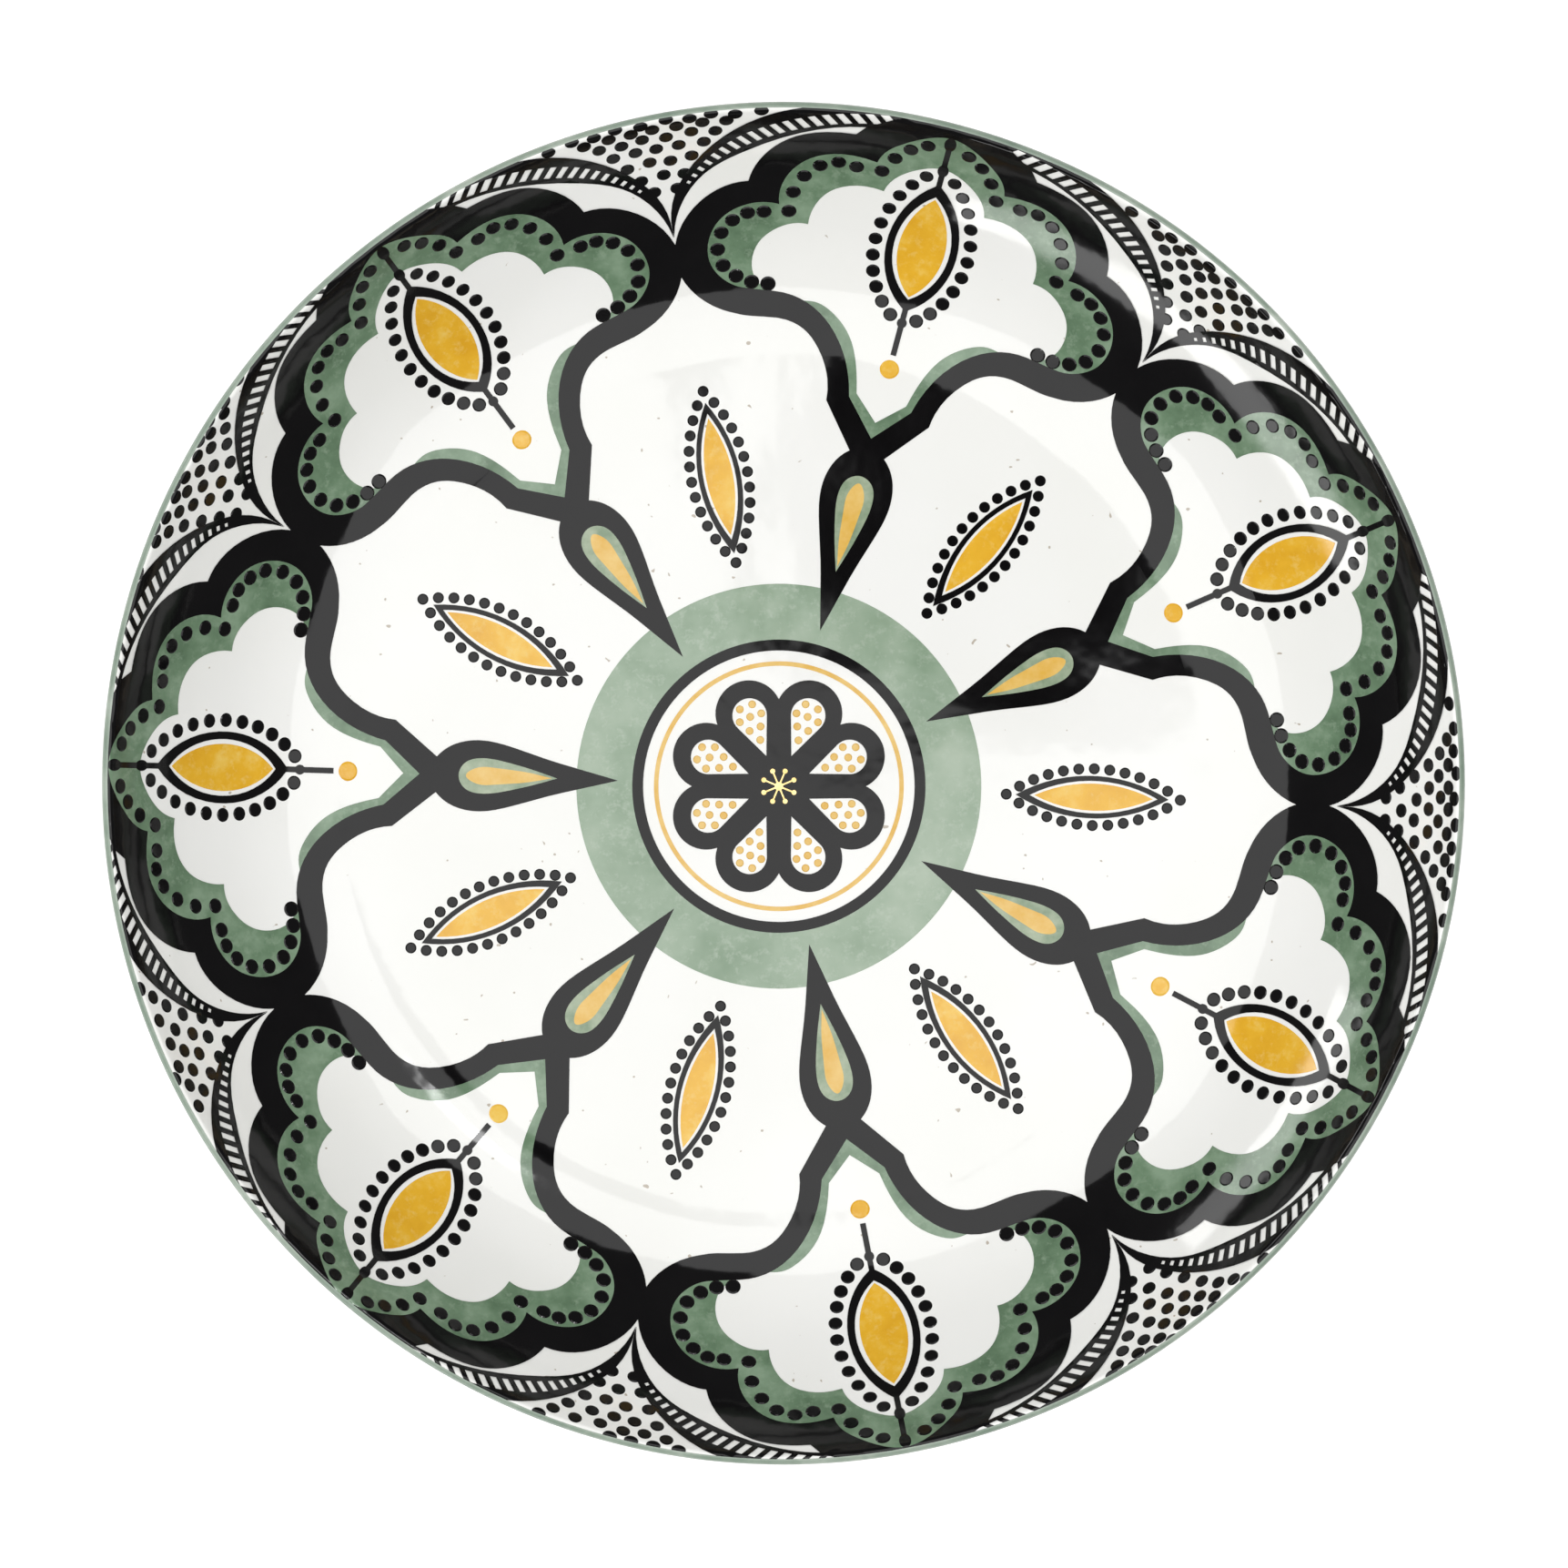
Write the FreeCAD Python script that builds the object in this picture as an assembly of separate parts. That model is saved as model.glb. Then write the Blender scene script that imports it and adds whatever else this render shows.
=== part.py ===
"""Hand painted deep plate: a turned clay body on a foot ring, white glaze coats and the painter's strokes.

The plate stands on its foot ring with +Z up, and the origin is at the centre of the foot's bottom. Lengths
are in millimetres. The clay and its glaze are turned sections. Every painted stroke is a thin film on the
glazed face: its outline is drawn flat, from above, and the film is what it cuts from a thin skin of the face.
A motif is drawn once, for a petal that points along +Y, and is then turned to its places round the plate.
"""

import FreeCAD
import Part
import math
import os

# The turned ware
plate_diameter = 270.0
well_radius = 84.5  # where the flat well ends and the wall starts to bend up
bend_radius = 45.0
bend_angle = 38.0  # slope of the wall where the tight bend ends, degrees
lip_angle = 54.0  # slope of the wall where it meets the lip, degrees
lip_radius = 1.1
floor_thickness = 5.0
foot_height = 4.0
foot_inset = 8.5  # the foot stands this far inside the edge of the flat well
foot_width = 6.0
foot_fillet = 2.0
toe_radius = 1.2
recess_depth = 3.0  # from the surface it stands on to the glaze under the well
glaze_thickness = 0.3
glaze_wipe = 0.1  # the glaze is wiped off the foot from this far below its fillet
rim_band_angle = 0.9  # how far the green band runs down the outer wall's arc below the lip, degrees
rim_band_flats = 8  # the band is so thin that flats, not an arc, keep its thickness even when it is meshed

# The painting
sectors = 7
drawn_radius = 133.9  # the lip's crest on the plate that the outlines below are drawn for
first_petal_angle = 178.0  # degrees from +X to the first petal's axis
painting_shift = (-0.8, -0.8)  # the painting sits a little off the plate's axis
line_film = 0.16
wash_film = 0.12
bead_height = 0.16
bead_top = 0.8  # a bead's flat top, as a share of its foot
smallest_scrap = 0.08  # mm3: a stroke that the lip cuts to less than this isn't painted
stem_width = 1.15
leaf_bead = 2.9
petal_bead = 3.1
spindle_bead = 2.25
rim_bead = 2.9
stipple_dot = 1.6

# The medallion in the well
wash_ring = (29.7, 41.0)
border_ring = (27.5, 29.7)
hairline_ring = (24.4, 25.3)
flower_lobes = 8
lobe_centre = 15.9
lobe_radius = 6.75
window_tip = 6.6
window_centre = 15.5
window_radius = 3.5

plate_radius = plate_diameter / 2
foot_radius = well_radius - foot_inset
glaze_stop = foot_height - foot_fillet - glaze_wipe
crest_radius = plate_radius - lip_radius
floor_height = foot_height + floor_thickness
sector_angle = 360.0 / sectors
motif_scale = crest_radius / drawn_radius
axis_z = FreeCAD.Vector(0, 0, 1)
origin = FreeCAD.Vector(0, 0, 0)


# ---- The turned section, in the plane through the axis: (radius, height) ----


def section_point(centre, radius, slope):
    """The point on an arc of the wall where it has that slope. The arc's centre is inside the bowl."""
    a = math.radians(slope)
    return (centre[0] + radius * math.sin(a), centre[1] - radius * math.cos(a))


def section_arc(centre, radius, start, end):
    middle = section_point(centre, radius, (start + end) / 2)
    return [section_point(centre, radius, start), middle, section_point(centre, radius, end)]


bend_centre = (well_radius, floor_height + bend_radius)
bend_end = section_point(bend_centre, bend_radius, bend_angle)
lip_start_radius = crest_radius - lip_radius * math.sin(math.radians(lip_angle))
slope_run = math.sin(math.radians(lip_angle)) - math.sin(math.radians(bend_angle))
wall_radius = (lip_start_radius - bend_end[0]) / slope_run
wall_centre = section_point(bend_end, wall_radius, bend_angle + 180.0)
lip_start = section_point(wall_centre, wall_radius, lip_angle)
lip_centre = section_point(lip_start, lip_radius, lip_angle)
crest_height = lip_centre[1] + lip_radius


def outer_wall():
    """Centre, radius and end slope of the arc that joins the outer bend to the lip, tangent to both."""
    start = section_point(bend_centre, bend_radius + floor_thickness, bend_angle)
    inward = (-math.sin(math.radians(bend_angle)), math.cos(math.radians(bend_angle)))
    v = (start[0] - lip_centre[0], start[1] - lip_centre[1])
    along = v[0] * inward[0] + v[1] * inward[1]
    radius = (lip_radius**2 - v[0] ** 2 - v[1] ** 2) / (2 * (along + lip_radius))
    centre = (start[0] + inward[0] * radius, start[1] + inward[1] * radius)
    end = math.degrees(math.atan2(lip_centre[0] - centre[0], centre[1] - lip_centre[1]))
    return centre, radius, end


outer_centre, outer_radius, outer_end = outer_wall()


def face_strokes(depth):
    """The eating face from the axis to the lip's crest, that deep under the glaze's surface."""
    floor = floor_height - depth
    return [
        [(0, floor), (well_radius, floor)],
        section_arc(bend_centre, bend_radius + depth, 0, bend_angle),
        section_arc(wall_centre, wall_radius + depth, bend_angle, lip_angle),
        lip_arc(depth, lip_angle, 0.0),
    ]


def lip_arc(depth, start, end):
    """An arc of the lip between two slopes. It bulges up, so its centre is in the clay."""

    def point(slope):
        a = math.radians(slope)
        r = lip_radius - depth
        return (lip_centre[0] - r * math.sin(a), lip_centre[1] + r * math.cos(a))

    return [point(start), point((start + end) / 2), point(end)]


def back_strokes(depth):
    """The outside from the lip's crest to where the glaze stops on the foot."""
    under = foot_height + depth
    wall = foot_radius - depth
    turn = foot_fillet + depth
    fillet_centre = (foot_radius + foot_fillet, foot_height - foot_fillet)
    half = math.sqrt(0.5) * turn
    turn_middle = (fillet_centre[0] - half, fillet_centre[1] + half)
    turn_end = fillet_centre[1]
    return [
        lip_arc(depth, 0.0, outer_end - 180.0),
        section_arc(outer_centre, outer_radius - depth, outer_end, bend_angle),
        section_arc(bend_centre, bend_radius + floor_thickness - depth, bend_angle, 0),
        [(well_radius, under), (foot_radius + foot_fillet, under)],
        [(foot_radius + foot_fillet, under), turn_middle, (wall, turn_end)],
        [(wall, turn_end), (wall, glaze_stop)],
    ]


def recess_strokes(depth):
    """The hollow under the well, from where the glaze stops inside the foot to the axis."""
    top = recess_depth + depth
    wall = foot_radius - foot_width + depth
    return [[(wall, glaze_stop), (wall, top)], [(wall, top), (0, top)]]


def toe_strokes(depth):
    """The bare clay of the foot, from the glaze outside it to the glaze inside it."""
    outer = foot_radius - depth
    inner = foot_radius - foot_width + depth
    bevel = toe_radius * (1 - math.sqrt(0.5))
    return [
        [(outer, glaze_stop), (outer, toe_radius)],
        [(outer, toe_radius), (outer - bevel, bevel), (outer - toe_radius, 0)],
        [(outer - toe_radius, 0), (inner + toe_radius, 0)],
        [(inner + toe_radius, 0), (inner + bevel, bevel), (inner, toe_radius)],
        [(inner, toe_radius), (inner, glaze_stop)],
    ]


def smooth_face_strokes(depth):
    """The eating face with bend and wall in one curve, so that no painted line runs along their joint."""
    flat, _, _, lip = face_strokes(depth)
    bend = [section_point(bend_centre, bend_radius + depth, bend_angle * i / 6) for i in range(7)]
    slopes = [bend_angle + (lip_angle - bend_angle) * i / 5 for i in range(1, 6)]
    wall = [section_point(wall_centre, wall_radius + depth, slope) for slope in slopes]
    return [flat, bend + wall, lip]


def band_strokes(depth):
    """Over the lip in short flats that touch its arc, from its crest to the bottom of the green band."""
    half = (180.0 - outer_end) / rim_band_flats / 2
    reach = (lip_radius - depth) / math.cos(math.radians(half))
    corners = [lip_arc(depth, 0.0, 0.0)[0]]
    for i in range(rim_band_flats):
        a = math.radians(half * (2 * i + 1))
        corners.append((lip_centre[0] + reach * math.sin(a), lip_centre[1] + reach * math.cos(a)))
    corners.append(section_point(outer_centre, outer_radius - depth, outer_end))
    corners.append(section_point(outer_centre, outer_radius - depth, outer_end - rim_band_angle))
    return [[a, b] for a, b in zip(corners, corners[1:])]


def backwards(strokes):
    return [list(reversed(s)) for s in reversed(strokes)]


def edge(points):
    """A line through two points, an arc through three, or a smooth curve through more."""
    if len(points) == 2:
        return Part.LineSegment(points[0], points[1]).toShape()
    if len(points) == 3:
        return Part.Arc(points[0], points[1], points[2]).toShape()
    curve = Part.BSplineCurve()
    curve.interpolate(points)
    return curve.toShape()


def turned(strokes):
    """The solid that a closed section makes when it is turned about Z. Lines close gaps between strokes."""
    joined = []
    for s, following in zip(strokes, strokes[1:] + strokes[:1]):
        joined.append(s)
        if math.dist(s[-1], following[0]) > 1e-6:
            joined.append([s[-1], following[0]])
    edges = [edge([FreeCAD.Vector(r, 0, z) for r, z in s]) for s in joined]
    return Part.Face(Part.Wire(edges)).revolve(origin, axis_z, 360)


def skin(strokes_at, thickness):
    """A thin film of that thickness that lies on a glazed surface."""
    return turned(strokes_at(-thickness) + backwards(strokes_at(0)))


# ---- Flat outlines, drawn from above for a petal that points along +Y ----


def outline(strokes):
    """A flat face inside strokes that follow one another, each a list of (x, y) points."""
    corners = [s[0] for s in strokes] + [strokes[-1][-1]]
    swept = sum(a[0] * b[1] - b[0] * a[1] for a, b in zip(corners, corners[1:]))
    if swept < 0:
        strokes = backwards(strokes)
    edges = [edge([FreeCAD.Vector(x, y, 0) for x, y in s]) for s in strokes]
    return Part.Face(Part.Wire(edges))


def symmetric(right, round_top=True):
    """The outline whose right half is given from the top of the axis to the bottom."""
    left = [[(-x, y) for x, y in s] for s in backwards(right)]
    if round_top:
        return outline([left[-1] + right[0][1:]] + right[1:] + left[:-1])
    return outline(right + left)


def lens(bottom, widest, half_width, top):
    """A pointed leaf of two arcs."""
    return symmetric([[(0, top), (half_width, widest), (0, bottom)]], round_top=False)


def disc(radius, x=0.0, y=0.0):
    return Part.Face(Part.Wire(Part.Circle(FreeCAD.Vector(x, y, 0), axis_z, radius).toShape()))


def ring(radii):
    return disc(radii[1]).cut(disc(radii[0]))


def box(half_width, bottom, top):
    corners = [(-half_width, bottom), (half_width, bottom), (half_width, top), (-half_width, top)]
    return outline([[a, b] for a, b in zip(corners, corners[1:] + corners[:1])])


def face_height(radius):
    """Height of the eating face at a radius."""
    if radius <= well_radius:
        return floor_height
    if radius <= bend_end[0]:
        return bend_centre[1] - math.sqrt(bend_radius**2 - (radius - well_radius) ** 2)
    return wall_centre[1] - math.sqrt(wall_radius**2 - (radius - wall_centre[0]) ** 2)


def face_slope(radius):
    """Slope of the eating face at a radius, in degrees."""
    if radius <= well_radius:
        return 0.0
    if radius <= bend_end[0]:
        return math.degrees(math.asin((radius - well_radius) / bend_radius))
    return math.degrees(math.asin((radius - wall_centre[0]) / wall_radius))


def along(points, share):
    """The place at that share of an edge through the points, as (x, y), and the edge's direction there."""
    curve = edge([FreeCAD.Vector(x, y, 0) for x, y in points])
    parameter = curve.getParameterByLength(curve.Length * share)
    place = curve.valueAt(parameter)
    run = curve.tangentAt(parameter)
    return (place.x, place.y), (run.x, run.y)


def spaced(points, count, ends=True):
    """Evenly spaced places along an edge through those points, as (x, y)."""
    shares = [i / (count - 1) if ends else (i + 1) / (count + 1) for i in range(count)]
    return [along(points, share)[0] for share in shares]


def both_sides(places):
    return places + [(-x, y) for x, y in places]


def fused(faces):
    """One flat face that covers several that overlap."""
    slabs = [f.extrude(axis_z) for f in faces]
    whole = slabs[0].fuse(slabs[1:]).removeSplitter()
    return [f for f in whole.Faces if abs(f.BoundBox.ZMax) < 1e-6][0]


def turned_by(shape, degrees):
    copy = shape.copy()
    copy.rotate(origin, axis_z, degrees)
    return copy


# The petal's border, inside and outside. The lobes are named from the side of the petal to its tip.
side_lobe_outside = [
    (37.1, 115.6),
    (40.7, 113.9),
    (44.2, 110.9),
    (46.9, 106.8),
    (48.2, 101.5),
    (46.8, 96.0),
    (42.5, 92.1),
    (37.5, 90.4),
    (33.3, 90.2),
]
border_outside = [
    [(0, 140), (9.0, 140)],
    [(9.0, 140), (9.0, 135.2)],
    [(9.0, 135.2), (17.0, 131.0)],
    [(17.0, 131.0), (18.6, 129.3)],
    [(18.6, 129.3), (26.4, 127.6), (30.8, 125.5), (34.4, 122.3), (36.6, 118.4), (37.1, 115.6)],
    side_lobe_outside,
    [(33.3, 90.2), (27.5, 91.0), (23.5, 91.6), (19.3, 90.9), (14.5, 87.1), (11.8, 82.6), (10.75, 78.0)],
    [(10.75, 78.0), (3.6, 69.4)],
    [(3.6, 69.4), (0, 69.4)],
]
tip_lobe = [(0, 133.0), (5.2, 131.8), (9.5, 129.6), (12.1, 127.5), (13.1, 125.4)]
upper_lobe = [
    (13.1, 125.4),
    (17.2, 125.5),
    (21.4, 124.9),
    (25.6, 123.2),
    (28.7, 120.5),
    (30.4, 116.9),
    (30.0, 113.0),
]
side_lobe = [
    (30.0, 113.0),
    (33.7, 112.4),
    (37.5, 110.5),
    (40.6, 107.3),
    (41.9, 103.0),
    (40.7, 98.7),
    (37.4, 96.2),
    (33.2, 95.5),
]
border_inside = [
    tip_lobe,
    upper_lobe,
    side_lobe,
    [(33.2, 95.5), (28.5, 96.2), (24.0, 96.7), (17.6, 95.2), (12.1, 91.0), (8.9, 86.4), (6.5, 79.9)],
    [(6.5, 79.9), (0, 72.8)],
]
# The white heart of the petal: what the green wash leaves bare, with a thin green liner down to the point.
heart_edge = [
    [(0, 127.3), (3.8, 126.5), (7.0, 124.9), (9.3, 122.9), (10.4, 120.6)],
    [(10.4, 120.6), (14.7, 120.5), (18.2, 119.5), (21.4, 117.3), (23.1, 114.3), (23.4, 110.8)],
    [(23.4, 110.8), (26.6, 110.1), (29.8, 108.0), (32.0, 105.1), (32.6, 102.0), (31.7, 98.9), (29.2, 96.8)],
    [(29.2, 96.8), (26.8, 95.2)],
    [(26.8, 95.2), (21.4, 95.9), (17.6, 96.5), (14.4, 95.5), (9.6, 91.7), (6.7, 86.2), (5.2, 80.9)],
    [(5.2, 80.9), (0, 76.1)],
]
dart_outside = [(0, 32.6), (1.8, 39.6), (3.7, 46.8), (6.0, 54.2), (7.2, 60.8), (6.1, 66.2), (3.6, 69.4)]
dart_inside = [(0, 44.9), (1.6, 50.0), (3.0, 55.5), (3.6, 60.3), (2.6, 63.6), (0, 64.9)]
dart_flame_edge = [(0, 46.0), (1.1, 51.5), (1.7, 57.5), (1.4, 61.8), (0, 63.4)]
# The hatched arc over a petal, from where two petals meet to where it runs off the rim.
arc_inside = [
    (48.7, 101.3),
    (49.0, 107.4),
    (46.2, 114.2),
    (40.0, 120.1),
    (31.6, 125.6),
    (23.6, 129.2),
    (17.0, 131.0),
]
arc_outside = [(49.3, 102.4), (50.6, 109.6), (48.2, 116.4), (41.8, 124.3), (32.2, 130.4), (17.0, 135.2)]
arc_end = [(17.0, 135.2), (9.0, 135.2)]
hatch_line = [(48.5, 112.2), (41.9, 120.9), (33.5, 126.6), (22.2, 131.2), (13.0, 133.3)]
hatch_windows = 19
rim_bead_rows = ((121.5, 2), (124.2, 3), (126.9, 4), (129.3, 5), (131.2, 6))
edge_bead_rows = ((132.7, 7), (133.9, 10))  # the last rows, which the green band on the lip cuts short
rim_bead_step = 2.05  # degrees between beads in a row


def sector_wedge():
    """The share of the plate that one petal may fill, so that neighbours meet and don't overlap."""
    half = math.radians(sector_angle / 2)
    reach = 2 * drawn_radius
    corner = (reach * math.sin(half), reach * math.cos(half))
    return symmetric([[(0, corner[1]), corner], [corner, (0, 0)]], round_top=False)


def petal_border():
    return symmetric(border_outside, round_top=False).cut(symmetric(border_inside)).common(sector_wedge())


def petal_bead_places():
    tip = spaced([(4.2, 130.8), (8.9, 128.1), (11.8, 124.2)], 4)
    upper = spaced([(16.9, 123.7), (24.9, 121.4), (27.8, 112.3)], 6)
    side = spaced([(32.6, 110.9), (37.6, 108.4), (40.0, 103.9), (38.6, 99.4), (34.6, 97.4), (28.2, 97.6)], 9)
    return both_sides(tip + upper + side)


def leaf_outline():
    """The leaf's line with its stem, and the small swellings where the brush turned."""
    line = lens(99.3, 112.8, 7.2, 124.3).cut(lens(101.7, 112.6, 5.7, 122.0))
    stems = [box(stem_width / 2, 90.2, 100.5), box(stem_width / 2, 123.4, 132.2)]
    swellings = [disc(1.0, 0, 96.9), disc(1.1, 0, 127.0), disc(1.2, 0, 131.9)]
    return fused([line] + stems + swellings)


def petal_wash():
    return symmetric(border_inside).cut(symmetric(heart_edge)).cut(leaf_outline())


def leaf_bead_places():
    return both_sides(spaced([(2.9, 125.3), (9.5, 113.0), (2.7, 98.0)], 11))


def leaf_fill():
    return lens(102.2, 112.9, 4.7, 121.5)


def dart_shape(half):
    """A drop: up the right side from the tip, over the round top and down the left."""
    return outline([half + [(-x, y) for x, y in reversed(half[:-1])]])


def dart_line():
    left = [(-x, y) for x, y in reversed(dart_outside)]
    whole = outline([dart_outside, [dart_outside[-1], left[0]], left])
    return whole.cut(dart_shape(dart_inside))


def dart_flame():
    return dart_shape(dart_flame_edge)


def dart_wash():
    return dart_shape(dart_inside).cut(dart_flame())


def spindle(make):
    """A motif of the spindle leaf, which lies on the line between two petals."""
    return turned_by(make, -sector_angle / 2)


def spindle_line():
    return spindle(lens(48.0, 64.0, 4.3, 79.0).cut(lens(50.8, 63.8, 3.3, 76.8)))


def spindle_fill():
    return spindle(lens(51.8, 63.8, 2.75, 75.8))


def spindle_bead_places():
    side = spaced([(0, 81.4), (5.75, 64.0), (0, 46.1)], 11, ends=False)
    half = math.radians(sector_angle / 2)
    places = both_sides(side) + [(0, 81.4), (0, 46.1)]
    return [
        (x * math.cos(half) + y * math.sin(half), y * math.cos(half) - x * math.sin(half)) for x, y in places
    ]


def hatch_window(share):
    """One bare dash in the hatched arc. Towards the rim they are longer and further apart."""
    place, run = along(hatch_line, share * (0.7 + 0.3 * share))
    half_run = 0.3 + 0.6 * share
    half_reach = 0.35 + 0.95 * min(1.0, 2.5 * share)
    lean = math.radians(5 + 28 * share)
    reach = (math.cos(lean), math.sin(lean))
    corners = [
        (place[0] + i * half_run * run[0] + j * half_reach * reach[0],
         place[1] + i * half_run * run[1] + j * half_reach * reach[1])
        for i, j in ((-1, -1), (1, -1), (1, 1), (-1, 1))
    ]
    return outline([[a, b] for a, b in zip(corners, corners[1:] + corners[:1])])


def rim_arc():
    """The hatched arc on the right of a petal."""
    closing = [arc_end[1], arc_inside[-1]]
    tip = [arc_inside[0], arc_outside[0]]
    arc = outline([tip, arc_outside, arc_end, closing, list(reversed(arc_inside))])
    windows = [hatch_window(i / (hatch_windows - 1)) for i in range(hatch_windows)]
    return arc.cut(Part.makeCompound(windows)).common(sector_wedge())


def rim_arcs():
    right = rim_arc()
    left = right.mirror(origin, FreeCAD.Vector(1, 0, 0))
    return [right, left]


def rim_bead_places(rows):
    """Rows of beads between two petals, each row longer than the last, up to the rim."""
    places = []
    for row, (radius, count) in enumerate(rows):
        for i in range(count):
            sway = math.sin(12.9 * row + 7.7 * i)
            a = math.radians(sector_angle / 2 + (i - (count - 1) / 2) * rim_bead_step + 0.15 * sway)
            reach = radius + 0.2 * math.sin(5.3 * row + 3.1 * i)
            places.append((reach * math.sin(a), reach * math.cos(a)))
    return places


def edge_bead_faces():
    """The last rows, drawn from above: the wall's slope shortens each bead along the radius."""
    faces = []
    for x, y in rim_bead_places(edge_bead_rows):
        ellipse = Part.Ellipse(origin, rim_bead / 2, rim_bead / 2 * math.cos(math.radians(lip_angle)))
        face = Part.Face(Part.Wire(ellipse.toShape()))
        face.rotate(origin, axis_z, math.degrees(math.atan2(y, x)) + 90)
        face.translate(FreeCAD.Vector(x, y, 0))
        faces.append(face)
    return faces


# ---- The medallion in the well ----


def flower_window(lobe):
    half = math.asin(window_radius / (window_centre - window_tip))
    touch_x = window_radius * math.cos(half)
    touch_y = window_centre - window_radius * math.sin(half)
    strokes = [
        [(0, window_tip), (touch_x, touch_y)],
        [(touch_x, touch_y), (0, window_centre + window_radius), (-touch_x, touch_y)],
        [(-touch_x, touch_y), (0, window_tip)],
    ]
    return turned_by(outline(strokes), lobe * 360.0 / flower_lobes)


def flower():
    """The eight lobed flower with a drop left bare in each lobe."""
    turn = 360.0 / flower_lobes
    half_gap = lobe_centre * math.sin(math.radians(turn / 2))
    notch = lobe_centre * math.cos(math.radians(turn / 2)) + math.sqrt(lobe_radius**2 - half_gap**2)

    def point(radius, degrees):
        return (radius * math.sin(math.radians(degrees)), radius * math.cos(math.radians(degrees)))

    arcs = [
        [
            point(notch, turn * (i - 0.5)),
            point(lobe_centre + lobe_radius, turn * i),
            point(notch, turn * (i + 0.5)),
        ]
        for i in range(flower_lobes)
    ]
    windows = Part.makeCompound([flower_window(i) for i in range(flower_lobes)])
    return outline(arcs).cut(windows)


def stipple_places():
    """Dabs of ochre in each of the flower's drops, for a lobe that points along +Y."""
    right = ((1.2, 12.6), (2.35, 15.0), (1.35, 17.4))
    return both_sides(list(right)) + [(0.1, 10.1), (0, 15.2)]


def gilt_star():
    """A plain gilt star of eight short strokes round a dot, each with a dot at its end."""
    ray = fused([box(0.16, 0.3, 3.1), disc(0.5, 0, 3.3)])
    return fused([disc(0.85)] + [turned_by(ray, i * 360.0 / flower_lobes) for i in range(flower_lobes)])


def well_wash():
    """The green ring round the medallion, less the tips of the darts that are painted into it."""
    dart = dart_shape(dart_outside + [(0, 70.5)])
    darts = [turned_by(dart, -i * sector_angle) for i in range(sectors)]
    return ring(wash_ring).cut(Part.makeCompound(darts))


# ---- Films on the face ----


def placed(face, degrees):
    """A drawn face scaled to the plate, turned to its place and shifted with the painting."""
    matrix = FreeCAD.Matrix()
    matrix.scale(motif_scale, motif_scale, 1)
    copy = face.transformGeometry(matrix) if abs(motif_scale - 1) > 1e-9 else face.copy()
    copy.rotate(origin, axis_z, degrees)
    copy.translate(FreeCAD.Vector(painting_shift[0], painting_shift[1], 0))
    return copy


def petal_turns():
    return [first_petal_angle - 90.0 - i * sector_angle for i in range(sectors)]


def lobe_turns():
    return [22.5 - 90.0 + i * 360.0 / flower_lobes for i in range(flower_lobes)]


def well_film(face, thickness, turns, lift=0.0):
    """A flat face laid on the flat of the well, once for each turn."""
    solids = []
    for turn in turns:
        copy = placed(face, turn)
        copy.translate(FreeCAD.Vector(0, 0, floor_height + lift))
        solids += copy.extrude(FreeCAD.Vector(0, 0, thickness)).Solids
    return Part.makeCompound(solids)


def wall_film(faces, thickness, strokes_at):
    """The solids that flat faces cut from a skin of the eating face, for every petal."""
    layer = skin(strokes_at, thickness)
    solids = []
    for turn in petal_turns():
        for face in [f for shape in faces for f in shape.Faces]:
            prism = placed(face, turn).extrude(FreeCAD.Vector(0, 0, 2 * crest_height))
            solids += [s for s in prism.common(layer).Solids if s.Volume > smallest_scrap]
    return Part.makeCompound(solids)


def raised_beads(places, diameter, turns, lift=0.0):
    """Flat-topped dabs that stand square on the face at places drawn from above."""
    foot = (diameter / 2, 0)
    top = (bead_top * diameter / 2, bead_height)
    dab = turned([[(0, 0), foot], [foot, top], [top, (0, bead_height)]])
    solids = []
    for turn in turns:
        a = math.radians(turn)
        for x, y in places:
            px = motif_scale * (x * math.cos(a) - y * math.sin(a)) + painting_shift[0]
            py = motif_scale * (x * math.sin(a) + y * math.cos(a)) + painting_shift[1]
            radius = math.hypot(px, py)
            copy = dab.copy()
            copy.translate(FreeCAD.Vector(0, 0, lift))
            copy.rotate(origin, FreeCAD.Vector(0, -1, 0), face_slope(radius))
            copy.translate(FreeCAD.Vector(radius, 0, face_height(radius)))
            copy.rotate(origin, axis_z, math.degrees(math.atan2(py, px)))
            solids.append(copy)
    return Part.makeCompound(solids)


def clay_body():
    strokes = []
    for strokes_at in (face_strokes, back_strokes, toe_strokes, recess_strokes):
        strokes += strokes_at(glaze_thickness)
    return turned(strokes)


def coat(strokes_at):
    return turned(strokes_at(0) + backwards(strokes_at(glaze_thickness)))


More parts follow.
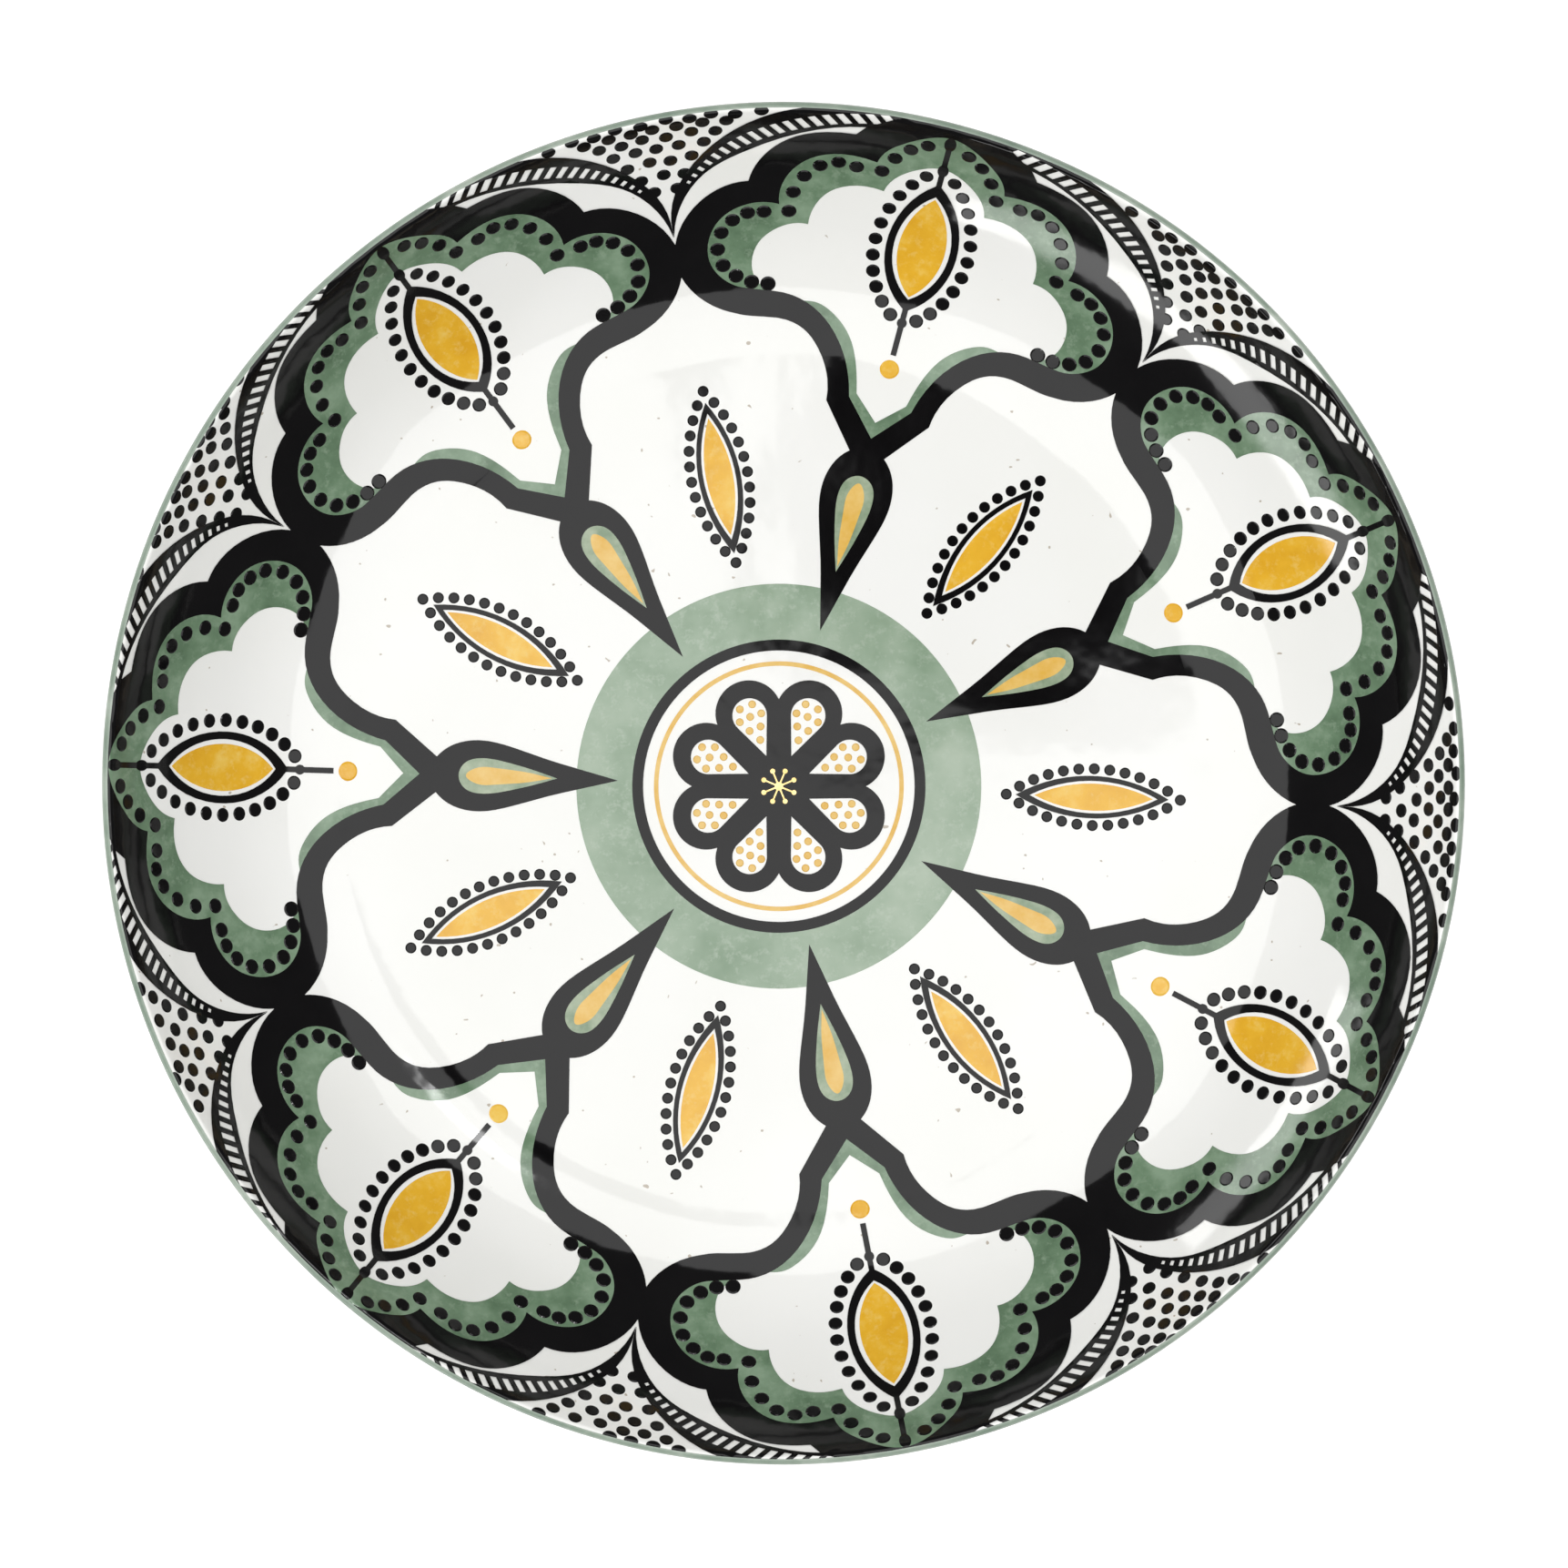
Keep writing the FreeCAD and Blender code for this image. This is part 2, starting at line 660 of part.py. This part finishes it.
def build():
    whole = [0.0]
    petals = petal_turns()
    lobes = lobe_turns()
    return {
        "clay_body": clay_body(),
        "face_glaze": coat(face_strokes),
        "back_glaze": coat(back_strokes),
        "foot_well_glaze": coat(recess_strokes),
        "rim_band": skin(band_strokes, line_film),
        "well_wash_ring": well_film(well_wash(), wash_film, petals[:1]),
        "well_border_ring": well_film(ring(border_ring), line_film, whole),
        "well_hairline": well_film(ring(hairline_ring), wash_film, whole),
        "well_flower": well_film(flower(), line_film, lobes[:1]),
        "flower_stipple": raised_beads(stipple_places(), stipple_dot, lobes),
        "gilt_star": well_film(gilt_star(), wash_film, lobes[:1], line_film),
        "dart_outlines": well_film(dart_line(), line_film, petals),
        "dart_washes": well_film(dart_wash(), wash_film, petals),
        "dart_flames": well_film(dart_flame(), wash_film, petals),
        "spindle_outlines": well_film(spindle_line(), line_film, petals),
        "spindle_fills": well_film(spindle_fill(), wash_film, petals),
        "spindle_beads": raised_beads(spindle_bead_places(), spindle_bead, petals),
        "petal_borders": wall_film([petal_border()], line_film, smooth_face_strokes),
        "petal_washes": wall_film([petal_wash()], wash_film, smooth_face_strokes),
        "petal_beads": raised_beads(petal_bead_places(), petal_bead, petals, wash_film),
        "leaf_outlines": wall_film([leaf_outline()], line_film, smooth_face_strokes),
        "leaf_fills": wall_film([leaf_fill()], wash_film, smooth_face_strokes),
        "leaf_beads": raised_beads(leaf_bead_places(), leaf_bead, petals),
        "berry_dots": raised_beads([(0, 87.3)], 4.0, petals),
        "rim_arcs": wall_film(rim_arcs(), line_film, face_strokes),
        "rim_beads": raised_beads(rim_bead_places(rim_bead_rows), rim_bead, petals),
        "rim_edge_beads": wall_film(edge_bead_faces(), wash_film, face_strokes),
    }


os.makedirs("parts", exist_ok=True)
for node, shape in build().items():
    shape.exportStep(f"parts/{node}.step")
    print(node, len(shape.Solids), "solids", round(shape.Volume, 2), "mm3", "valid", shape.isValid())
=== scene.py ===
import bpy
import math
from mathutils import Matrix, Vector


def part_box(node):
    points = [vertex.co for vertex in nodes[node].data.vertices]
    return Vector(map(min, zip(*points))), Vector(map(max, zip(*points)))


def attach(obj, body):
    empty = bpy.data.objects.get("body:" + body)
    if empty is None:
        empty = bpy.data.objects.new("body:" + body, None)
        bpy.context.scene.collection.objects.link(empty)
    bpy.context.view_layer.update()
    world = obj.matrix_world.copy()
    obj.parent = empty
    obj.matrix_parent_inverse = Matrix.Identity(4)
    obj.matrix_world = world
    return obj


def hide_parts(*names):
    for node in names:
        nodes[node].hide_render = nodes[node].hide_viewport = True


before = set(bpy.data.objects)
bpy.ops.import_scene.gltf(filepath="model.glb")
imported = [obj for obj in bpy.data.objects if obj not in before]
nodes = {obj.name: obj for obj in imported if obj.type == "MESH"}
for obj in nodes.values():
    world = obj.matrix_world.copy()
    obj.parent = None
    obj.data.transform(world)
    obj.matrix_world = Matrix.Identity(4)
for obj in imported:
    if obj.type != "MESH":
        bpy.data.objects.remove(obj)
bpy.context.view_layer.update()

# ---------------------------------------------------------------------------------------------------------
# The studio: the plate lies face up on a white table. A camera hangs over it and a white scrim fills the
# ceiling. Tall windows stand on the left and a small lamp on the right. The rest of the room is dark.

rim_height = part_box("rim_band")[1][2]
camera_height = 1.4
camera_offset = (-0.0105, 0.0154)
frame_width = 0.31055  # how much of the table, at the rim's height, the camera takes in

bpy.context.scene.view_settings.view_transform = "Standard"
bpy.ops.object.select_all(action="DESELECT")
bpy.ops.object.camera_add(location=(*camera_offset, rim_height + camera_height))
camera = bpy.context.object
camera.name = "studio_camera"
camera.data.sensor_width = 36.0
camera.data.lens = camera.data.sensor_width * camera_height / frame_width
camera.data.clip_start = 0.01
aim = Vector((0.0, 0.0, rim_height)) - camera.location
camera.rotation_euler = (math.atan2(aim.y, -aim.z), -math.atan2(aim.x, -aim.z), 0.0)
bpy.context.scene.camera = camera


class Shade:
    """A socket of a material's node tree. Sums and products on it add Math nodes."""

    def __init__(self, tree, socket):
        self.tree = tree
        self.socket = socket

    def __add__(self, other):
        return add_node(self.tree, "ShaderNodeMath", {"operation": "ADD"}, in0=self, in1=other)

    def __mul__(self, other):
        return add_node(self.tree, "ShaderNodeMath", {"operation": "MULTIPLY"}, in0=self, in1=other)

    __radd__ = __add__
    __rmul__ = __mul__


def add_node(tree, kind, settings=None, out=0, **inputs):
    """Adds a node, sets it up, fills its sockets with values or links, and gives back one of its outputs."""
    node = tree.nodes.new(kind)
    for name, value in (settings or {}).items():
        if name == "stops":
            node.color_ramp.elements[0].position = value[0][0]
            node.color_ramp.elements[0].color = value[0][1]
            node.color_ramp.elements[1].position = value[-1][0]
            node.color_ramp.elements[1].color = value[-1][1]
            for position, colour in value[1:-1]:
                node.color_ramp.elements.new(position).color = colour
        else:
            setattr(node, name, value)
    for name, value in inputs.items():
        socket = node.inputs[int(name[2:])] if name[:2] == "in" else node.inputs[name]
        if isinstance(value, Shade):
            tree.links.new(value.socket, socket)
        else:
            socket.default_value = value
    return Shade(tree, node.outputs[out])


def new_material(name, **constants):
    """A material with its shader's constants, and the place on the plate that its patterns read."""
    material = bpy.data.materials.new(name)
    material.use_nodes = True
    tree = material.node_tree
    tree.nodes.clear()
    output = tree.nodes.new("ShaderNodeOutputMaterial")
    shader = tree.nodes.new("ShaderNodeBsdfPrincipled")
    tree.links.new(shader.outputs[0], output.inputs[0])
    for key, value in constants.items():
        shader.inputs[key.replace("_", " ")].default_value = value
    return material, tree, shader, add_node(tree, "ShaderNodeTexCoord", out="Object")


def scatter(tree, place, size, detail=2.0, rough=0.5, out="Fac"):
    """Even noise round 0.5. The size is the width of a patch in metres."""
    return add_node(tree, "ShaderNodeTexNoise", None, out,
                    Vector=place, Scale=1.0 / size, Detail=detail, Roughness=rough)


def ramp(tree, value, stops):
    return add_node(tree, "ShaderNodeValToRGB", {"stops": stops}, Fac=value)


def mixed(tree, share, first, second):
    """The first colour where the share is 0, the second where it is 1."""
    return add_node(tree, "ShaderNodeMix", {"data_type": "RGBA"}, 2, in0=share, in6=first, in7=second)


def rounded_normal(tree, height, strength, distance):
    return add_node(tree, "ShaderNodeBump", None, "Normal",
                    Strength=strength, Distance=distance, Height=height)


def paint(piece, material):
    piece.data.materials.clear()
    piece.data.materials.append(material)


table_gap = 0.0001  # the table lies this far below the foot, so that the two never share a plane
bpy.ops.mesh.primitive_plane_add(size=6.0, location=(0.0, 0.0, -table_gap))
bpy.ops.object.transform_apply(location=True, rotation=True, scale=True)
table = bpy.context.object
table.name = "table"
material, tree, shader, place = new_material("table_paper", Roughness=0.9, Emission_Strength=0.35)
paper_stops = [(0.3, (0.86, 0.86, 0.86, 1)), (0.7, (0.88, 0.88, 0.88, 1))]
paper = ramp(tree, scatter(tree, place, 0.3), paper_stops)
tree.links.new(paper.socket, shader.inputs["Base Color"])
tree.links.new(paper.socket, shader.inputs["Emission Color"])
paint(table, material)


def lamp(name, place, target, width, height, power):
    """A soft panel that faces a point."""
    bpy.ops.object.light_add(type="AREA", location=place)
    light = bpy.context.object
    light.name = name
    light.data.shape = "RECTANGLE"
    light.data.size = width
    light.data.size_y = height
    light.data.energy = power
    light.rotation_euler = (Vector(target) - Vector(place)).to_track_quat("-Z", "Y").to_euler()


world = bpy.data.worlds.new("room")
bpy.context.scene.world = world
world.use_nodes = True
world.node_tree.nodes["Background"].inputs["Color"].default_value = (1.0, 1.0, 1.0, 1.0)
world.node_tree.nodes["Background"].inputs["Strength"].default_value = 0.15
well_middle = (0.0, 0.0, 0.03)
lamp("ceiling_scrim", (-0.10, -0.05, 1.95), (-0.10, -0.05, 0.0), 3.0, 2.6, 53.0)
lamp("left_window_front", (-1.05, -1.15, 0.21), well_middle, 1.5, 0.24, 5.0)
lamp("left_window_back", (-1.25, 0.85, 0.21), well_middle, 0.8, 0.24, 2.6)
lamp("right_lamp", (0.33, 0.34, 1.40), well_middle, 0.12, 0.12, 0.7)


def black_card(name, place, width, depth):
    """A card beside the lens that shades part of the scrim."""
    bpy.ops.mesh.primitive_plane_add(size=1.0, location=place)
    card = bpy.context.object
    card.name = name
    bpy.ops.transform.resize(value=(width, depth, 1.0))
    bpy.ops.object.transform_apply(location=True, rotation=True, scale=True)
    material, tree, shader, place = new_material("black_flock", Roughness=1.0)
    flock_stops = [(0.3, (0.003, 0.003, 0.003, 1)), (0.7, (0.008, 0.008, 0.008, 1))]
    flock = ramp(tree, scatter(tree, place, 0.01), flock_stops)
    tree.links.new(flock.socket, shader.inputs["Base Color"])
    paint(card, material)


black_card("lens_flag", (0.080, 0.105, rim_height + camera_height + 0.05), 0.15, 0.18)
black_card("lens_flag_wing", (0.135, 0.055, rim_height + camera_height + 0.06), 0.12, 0.09)

# ---------------------------------------------------------------------------------------------------------
# The clay: red-buff earthenware, turned on the wheel as one deep plate with a foot ring, then fired. It
# shows only on the foot, where the glaze was wiped off and the bare edge was sanded.

plate_radius = 0.135
well_radius = 0.0845
floor_height = 0.009
bend_radius = 0.045
bend_angle = 38.0
lip_angle = 54.0
lip_radius = 0.0011
floor_thickness = 0.005
foot_height = 0.004
foot_radius = 0.076
foot_width = 0.006
foot_fillet = 0.002
toe_radius = 0.0012
recess_depth = 0.003
glaze_thickness = 0.0003
glaze_stop = 0.0019
pole_radius = 0.004  # the flat middle of a turned piece, one many-sided face
ring_steps = 288


def on_arc(centre, radius, slope):
    """The point of an upward bowl's arc where it has that slope, as (radius, height)."""
    a = math.radians(slope)
    return (centre[0] + radius * math.sin(a), centre[1] - radius * math.cos(a))


def arc(centre, radius, start, end, steps):
    return [on_arc(centre, radius, start + (end - start) * i / steps) for i in range(steps + 1)]


# The section's arcs: the tight bend, the wall above it, the lip, and the outside from the lip to the bend.
slope_run = math.sin(math.radians(lip_angle)) - math.sin(math.radians(bend_angle))
bend_centre = (well_radius, floor_height + bend_radius)
bend_end = on_arc(bend_centre, bend_radius, bend_angle)
lip_start_radius = plate_radius - lip_radius - lip_radius * math.sin(math.radians(lip_angle))
wall_radius = (lip_start_radius - bend_end[0]) / slope_run
wall_centre = on_arc(bend_end, wall_radius, bend_angle + 180.0)
lip_centre = on_arc(on_arc(wall_centre, wall_radius, lip_angle), lip_radius, lip_angle)
outer_start = on_arc(bend_centre, bend_radius + floor_thickness, bend_angle)
inward = (-math.sin(math.radians(bend_angle)), math.cos(math.radians(bend_angle)))
across = (outer_start[0] - lip_centre[0], outer_start[1] - lip_centre[1])
outer_radius = (lip_radius**2 - across[0] ** 2 - across[1] ** 2) / (
    2 * (across[0] * inward[0] + across[1] * inward[1] + lip_radius))
outer_centre = (outer_start[0] + inward[0] * outer_radius, outer_start[1] + inward[1] * outer_radius)
outer_end = math.degrees(math.atan2(lip_centre[0] - outer_centre[0], outer_centre[1] - lip_centre[1]))


def face_profile(depth):
    """The eating face from near the axis to the lip's crest, that deep under the glaze's surface."""
    flat = [(r, floor_height - depth) for r in (pole_radius, 0.02, 0.04, 0.06, 0.076)]
    bend = arc(bend_centre, bend_radius + depth, 0.0, bend_angle, 16)
    wall = arc(wall_centre, wall_radius + depth, bend_angle, lip_angle, 12)
    outer_lip = arc(lip_centre, lip_radius - depth, 180.0 - lip_angle, 180.0, 6)
    lip = [(2 * lip_centre[0] - r, z) for r, z in outer_lip]
    return flat + bend + wall[1:] + lip[1:]


def back_profile(depth):
    """The outside from the lip's crest to where the glaze stops on the foot."""
    lip = arc(lip_centre, lip_radius - depth, 180.0, outer_end, 10)
    wall = arc(outer_centre, outer_radius - depth, outer_end, bend_angle, 14)
    bend = arc(bend_centre, bend_radius + floor_thickness - depth, bend_angle, 0.0, 14)
    fillet_centre = (foot_radius + foot_fillet, foot_height - foot_fillet)
    fillet = arc(fillet_centre, foot_fillet + depth, 180.0, 270.0, 6)
    return lip + wall[1:] + bend[1:] + fillet + [(foot_radius - depth, glaze_stop)]


def recess_profile(depth):
    """The hollow inside the foot, from where the glaze stops to near the axis."""
    wall = foot_radius - foot_width + depth
    return [(wall, glaze_stop), (wall, recess_depth + depth), (pole_radius, recess_depth + depth)]


def turn_piece(name, profile, poles):
    """Draws a ring at the profile's first point and pulls it out ring by ring, then closes the poles."""
    bpy.ops.object.select_all(action="DESELECT")
    bpy.ops.mesh.primitive_circle_add(vertices=ring_steps, radius=profile[0][0], location=(0, 0, profile[0][1]))
    piece = bpy.context.object
    piece.name = name
    bpy.ops.object.transform_apply(location=True, rotation=True, scale=True)
    bpy.ops.object.mode_set(mode="EDIT")
    bpy.ops.mesh.select_all(action="SELECT")
    for (r0, z0), (r1, z1) in zip(profile, profile[1:]):
        bpy.ops.mesh.extrude_edges_move(TRANSFORM_OT_translate={"value": (0.0, 0.0, z1 - z0)})
        bpy.ops.transform.resize(value=(r1 / r0, r1 / r0, 1.0), center_override=(0.0, 0.0, z1))
    if poles:
        bpy.ops.mesh.edge_face_add()
        bpy.ops.mesh.select_all(action="DESELECT")
        bpy.ops.mesh.select_non_manifold()
        bpy.ops.mesh.edge_face_add()
    bpy.ops.mesh.select_all(action="SELECT")
    bpy.ops.mesh.remove_doubles(threshold=1e-6)
    bpy.ops.mesh.select_all(action="SELECT")
    bpy.ops.mesh.normals_make_consistent(inside=False)
    bpy.ops.object.mode_set(mode="OBJECT")
    bpy.ops.object.shade_smooth_by_angle(angle=math.radians(50))
    return piece


def finish_piece(piece, material, node):
    paint(piece, material)
    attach(piece, "root")
    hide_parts(node)


toe_outer = foot_radius - glaze_thickness
toe_inner = foot_radius - foot_width + glaze_thickness
toe_out = arc((toe_outer - toe_radius, toe_radius), toe_radius, 90.0, 0.0, 5)
toe_in = arc((toe_inner + toe_radius, toe_radius), toe_radius, 0.0, -90.0, 5)
turned = face_profile(glaze_thickness) + back_profile(glaze_thickness)[1:]
clay = turn_piece("thrown_clay", turned + toe_out + toe_in + recess_profile(glaze_thickness), True)
material, tree, shader, place = new_material("fired_clay", Roughness=0.85, Specular_IOR_Level=0.2)
buff_stops = [(0.3, (0.52, 0.33, 0.21, 1)), (0.7, (0.66, 0.47, 0.33, 1))]
buff = ramp(tree, scatter(tree, place, 0.012, 4.0), buff_stops)
grit = ramp(tree, scatter(tree, place, 0.0009, 1.0), [(0.62, (0, 0, 0, 1)), (0.70, (1, 1, 1, 1))])
tree.links.new(mixed(tree, grit, buff, (0.30, 0.20, 0.14, 1)).socket, shader.inputs["Base Color"])
sanded = rounded_normal(tree, scatter(tree, place, 0.0006, 3.0), 0.4, 0.0002)
tree.links.new(sanded.socket, shader.inputs["Normal"])
finish_piece(clay, material, "clay_body")

# ---------------------------------------------------------------------------------------------------------
# The white glaze: one poured coat on the face, one on the outside down to the foot, and a disc inside the
# foot. It pools into slow waves, is a little warmer in places, and has rare iron specks.

wave_width = 0.030
wrinkle_width = 0.0045


def glaze_normal(tree, place, wrinkles=0.05):
    """The slow waves and small wrinkles of a poured glaze, which make reflections swim."""
    height = scatter(tree, place, wave_width, 1.0) + scatter(tree, place, wrinkle_width, 1.0) * wrinkles
    return rounded_normal(tree, height, 0.10, 0.004)


material, tree, shader, place = new_material("white_tin_glaze", Roughness=0.06, Specular_IOR_Level=0.5)
milk_stops = [(0.35, (0.895, 0.895, 0.860, 1)), (0.65, (0.925, 0.925, 0.900, 1))]
milk = ramp(tree, scatter(tree, place, 0.045, 3.0), milk_stops)
speck = ramp(tree, scatter(tree, place, 0.0014, 0.0), [(0.85, (0, 0, 0, 1)), (0.88, (0.7, 0.7, 0.7, 1))])
tree.links.new(mixed(tree, speck, milk, (0.35, 0.27, 0.18, 1)).socket, shader.inputs["Base Color"])
tree.links.new(glaze_normal(tree, place).socket, shader.inputs["Normal"])
white_glaze = material


def coat(name, profile_at, poles, node):
    """A glaze coat: the profile's surface, then back along its underside."""
    under = list(reversed(profile_at(glaze_thickness)))
    closing = [] if poles else [profile_at(0.0)[0]]
    finish_piece(turn_piece(name, profile_at(0.0) + under + closing, poles), white_glaze, node)


coat("face_glaze_coat", face_profile, True, "face_glaze")
coat("back_glaze_coat", back_profile, False, "back_glaze")
coat("recess_glaze_coat", lambda depth: list(reversed(recess_profile(depth))), True, "foot_well_glaze")

# ---------------------------------------------------------------------------------------------------------
# The lip's band: a thin sage green enamel brushed over the lip from its crest down the outside. The white
# shows through where the brush ran dry.

band_film = 0.00012
band_angle = 0.9  # how far it runs down the outer wall's arc below the lip, degrees


def band_profile(depth):
    lip = arc(lip_centre, lip_radius - depth, 180.0, outer_end, 10)
    return lip + arc(outer_centre, outer_radius - depth, outer_end, outer_end - band_angle, 3)[1:]


band_section = band_profile(-band_film) + list(reversed(band_profile(0.0)))
band = turn_piece("lip_band", band_section + band_section[:1], False)
material, tree, shader, place = new_material("sage_enamel_band", Roughness=0.12, Specular_IOR_Level=0.5)
sage = ramp(tree, scatter(tree, place, 0.012, 4.0, 0.65),
            [(0.30, (0.21, 0.28, 0.22, 1)), (0.55, (0.31, 0.38, 0.31, 1)), (0.72, (0.44, 0.50, 0.43, 1))])
tree.links.new(sage.socket, shader.inputs["Base Color"])
tree.links.new(glaze_normal(tree, place).socket, shader.inputs["Normal"])
finish_piece(band, material, "rim_band")

# ---------------------------------------------------------------------------------------------------------
# The black: outlines, beads, hatched arcs and the flower, in a dense glossy enamel. The brush left it a
# little thinner and browner in places. The drawn strokes keep their shapes and only get the material.


def dress(material, *names):
    for name in names:
        paint(nodes[name], material)


def enamel(name, stops, patch, rough, fleck=None, shine=0.6):
    """A glossy enamel whose colour drifts in patches. A fleck is its size, its strength and its colour."""
    material, tree, shader, place = new_material(name, Roughness=rough, Specular_IOR_Level=shine)
    colour = ramp(tree, scatter(tree, place, patch, 4.0, 0.6), stops)
    if fleck:
        size, strength, tint = fleck
        share_stops = [(0.52, (0, 0, 0, 1)), (0.72, (strength, strength, strength, 1))]
        colour = mixed(tree, ramp(tree, scatter(tree, place, size, 3.0, 0.7), share_stops), colour, tint)
    tree.links.new(colour.socket, shader.inputs["Base Color"])
    tree.links.new(glaze_normal(tree, place).socket, shader.inputs["Normal"])
    return material


black_stops = [(0.3, (0.0028, 0.0026, 0.0030, 1)), (0.7, (0.0050, 0.0046, 0.0050, 1))]
black = enamel("black_enamel_paint", black_stops, 0.012, 0.06, shine=0.3)
dress(black, "well_border_ring", "well_flower", "dart_outlines", "spindle_outlines", "spindle_beads")
dress(black, "petal_borders", "petal_beads", "leaf_outlines", "leaf_beads")
dress(black, "rim_arcs", "rim_beads", "rim_edge_beads")

# ---------------------------------------------------------------------------------------------------------
# The green: a brushed wash inside the petals' borders, a paler one in the medallion's ring and the darts.
# It is mottled, with lighter clouds where the white glaze shows through.

petal_stops = [(0.30, (0.095, 0.165, 0.095, 1)), (0.50, (0.150, 0.242, 0.148, 1)),
               (0.70, (0.240, 0.345, 0.235, 1))]
petal_green = enamel("petal_green_wash", petal_stops, 0.009, 0.10, (0.0022, 0.6, (0.28, 0.38, 0.27, 1)))
dress(petal_green, "petal_washes")
ring_stops = [(0.30, (0.190, 0.290, 0.185, 1)), (0.52, (0.290, 0.390, 0.280, 1)),
              (0.72, (0.390, 0.480, 0.370, 1))]
ring_fleck = (0.0020, 0.5, (0.45, 0.53, 0.43, 1))
ring_green = enamel("medallion_green_wash", ring_stops, 0.020, 0.10, ring_fleck)
dress(ring_green, "well_wash_ring")
dart_stops = [(0.30, (0.19, 0.28, 0.17, 1)), (0.70, (0.40, 0.47, 0.33, 1))]
dart_green = enamel("dart_green_wash", dart_stops, 0.004, 0.10)
dress(dart_green, "dart_washes")

# ---------------------------------------------------------------------------------------------------------
# The ochre: leaves, darts, spindles, dots and the hairline, in a warm yellow wash with paler clouds.

ochre_stops = [(0.30, (0.76, 0.39, 0.018, 1)), (0.55, (0.83, 0.46, 0.028, 1)), (0.72, (0.88, 0.58, 0.11, 1))]
ochre = enamel("leaf_ochre_wash", ochre_stops, 0.007, 0.10, (0.0020, 0.5, (0.86, 0.62, 0.18, 1)))
dress(ochre, "leaf_fills", "spindle_fills", "berry_dots")
pale_stops = [(0.30, (0.74, 0.42, 0.05, 1)), (0.70, (0.82, 0.56, 0.17, 1))]
pale_ochre = enamel("pale_ochre_wash", pale_stops, 0.004, 0.12)
dress(pale_ochre, "dart_flames", "flower_stipple", "well_hairline")

# ---------------------------------------------------------------------------------------------------------
# The gilding: a small star drawn over the flower's middle, worn and unevenly burnished.

material, tree, shader, place = new_material("star_gilding", Metallic=1.0)
worn = scatter(tree, place, 0.0015, 3.0)
gold = ramp(tree, worn, [(0.3, (0.62, 0.43, 0.16, 1)), (0.7, (0.86, 0.66, 0.32, 1))])
tree.links.new(gold.socket, shader.inputs["Base Color"])
tree.links.new((worn * 0.4 + 0.15).socket, shader.inputs["Roughness"])
tree.links.new(glaze_normal(tree, place).socket, shader.inputs["Normal"])
dress(material, "gilt_star")
